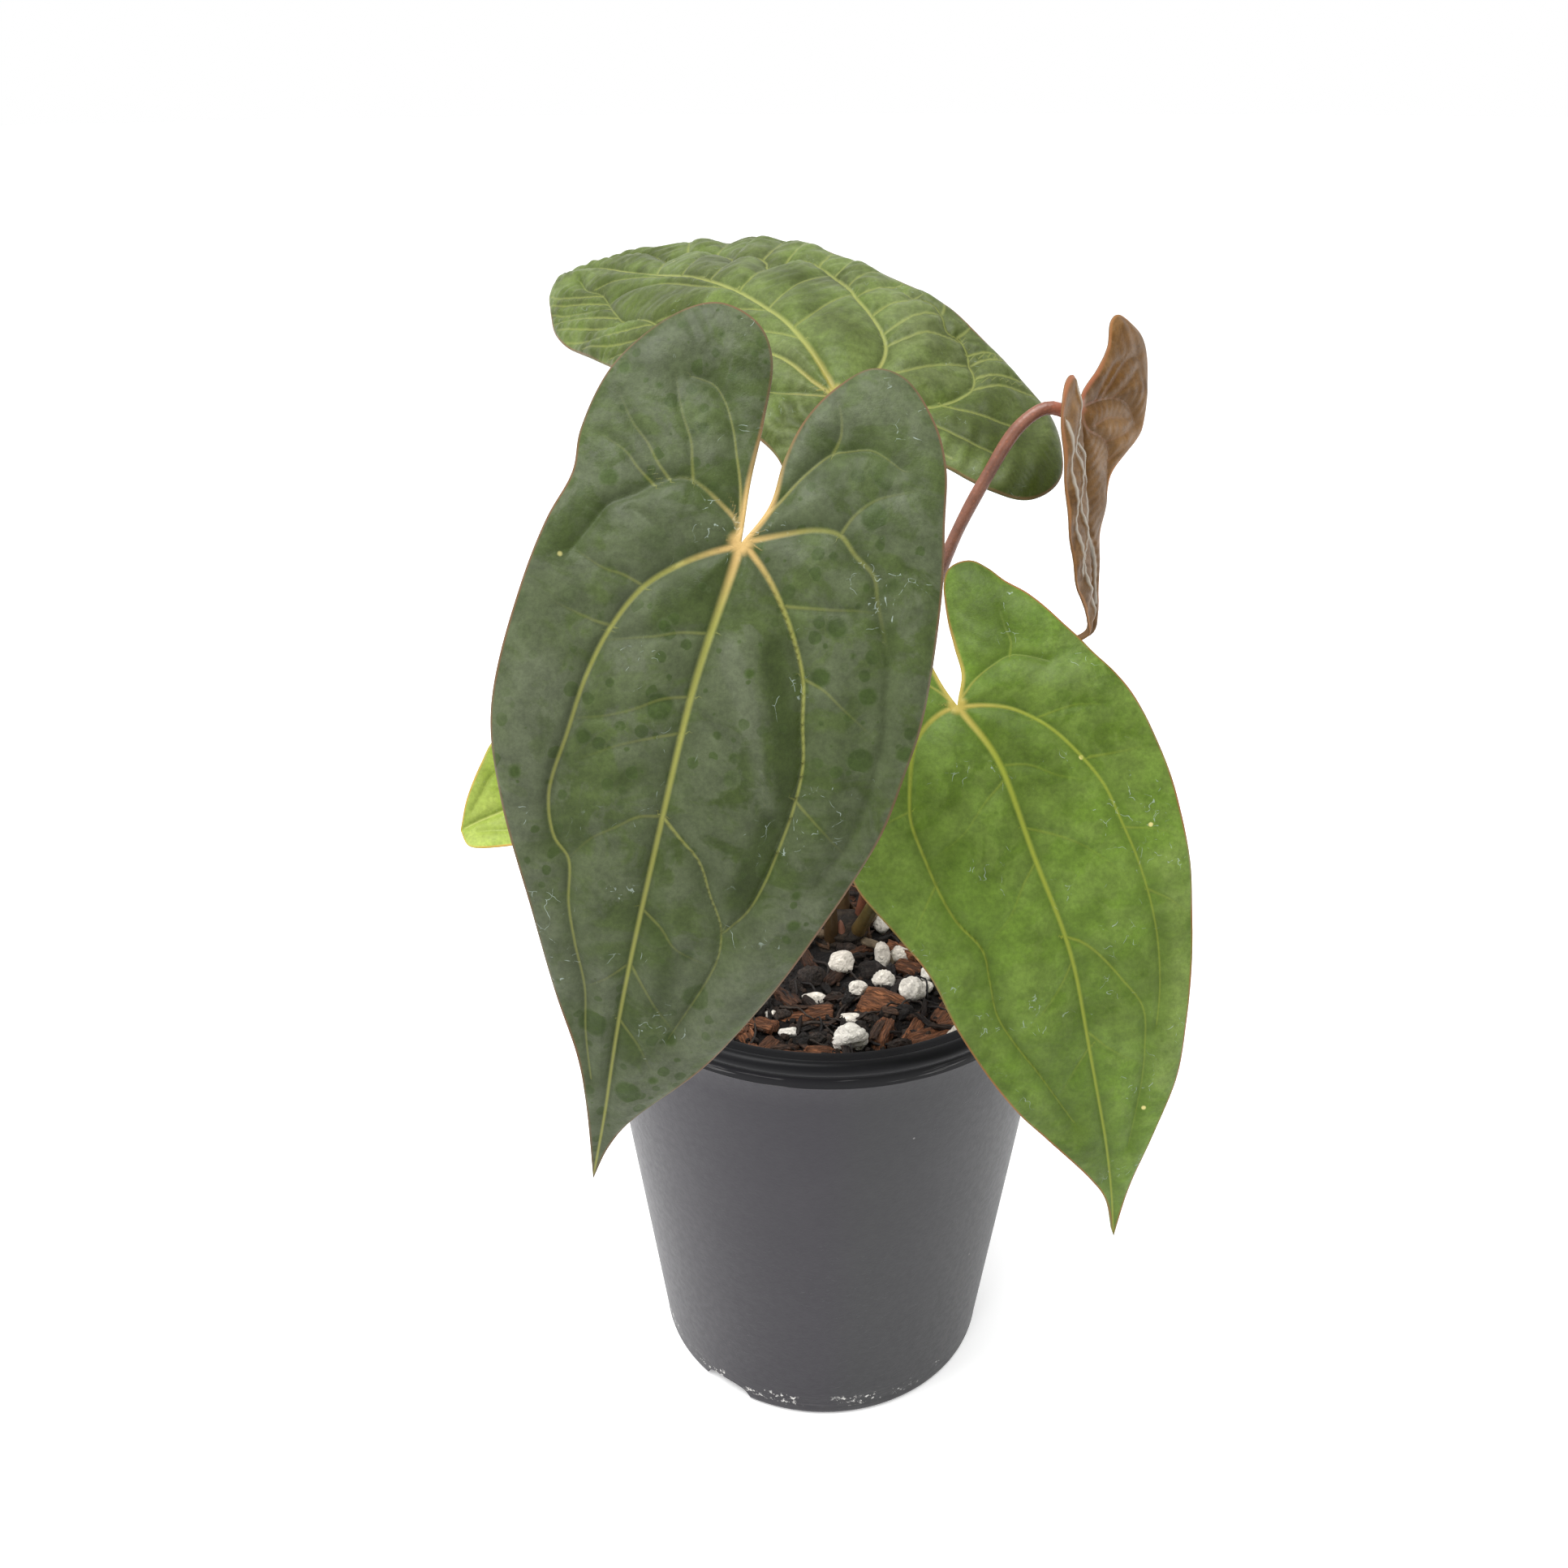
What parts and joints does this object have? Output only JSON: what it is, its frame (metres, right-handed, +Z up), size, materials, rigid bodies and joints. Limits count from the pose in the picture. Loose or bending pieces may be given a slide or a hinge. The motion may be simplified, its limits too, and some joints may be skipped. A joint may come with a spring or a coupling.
{
  "type": "potted anthurium papillilaminum",
  "caption": "Velvet-leaved aroid with heart-shaped leaves on arching stalks, growing from a crown in a tapered plastic nursery pot filled with bark and pumice mix.",
  "frame": {"origin": "centre of the pot's flat underside", "axes": "+Z up along the pot's axis, -Y towards the side the largest front leaf faces, +X to the right seen from there"},
  "size_m": [0.2201, 0.3382, 0.4032],
  "materials": {
    "pot_plastic": "dark grey blow-moulded plastic with a soft sheen, fine scuffs and mineral specks round the foot",
    "growing_mix": "damp bark chips, pumice stones, char and fibre",
    "crown_bark": "brown scarred short stem with pale aerial roots",
    "old_leaf": "dark grey-green velvet with pale yellow veins, darker spots and pale scratches",
    "green_leaf": "mid green satin velvet with pale yellow-green veins",
    "pale_leaf": "light green quilted velvet with yellow-green veins",
    "bronze_leaf": "bronze brown new leaf with whitish ridges and a soft sheen",
    "lime_leaf": "yellow-green small leaf with an orange edge",
    "green_stalk": "olive-brown smooth round stalk",
    "red_stalk": "reddish brown smooth round stalk"
  },
  "bodies": {
    "root": {"pot": "pot_plastic", "potting_mix": "growing_mix", "crown": "crown_bark", "blade_front": "old_leaf", "blade_right": "green_leaf", "blade_top": "pale_leaf", "blade_new": "bronze_leaf", "blade_small": "lime_leaf", "petiole_front": "green_stalk", "petiole_right": "green_stalk", "petiole_top": "green_stalk", "petiole_new": "red_stalk", "petiole_small": "green_stalk"}
  },
  "joints": []
}
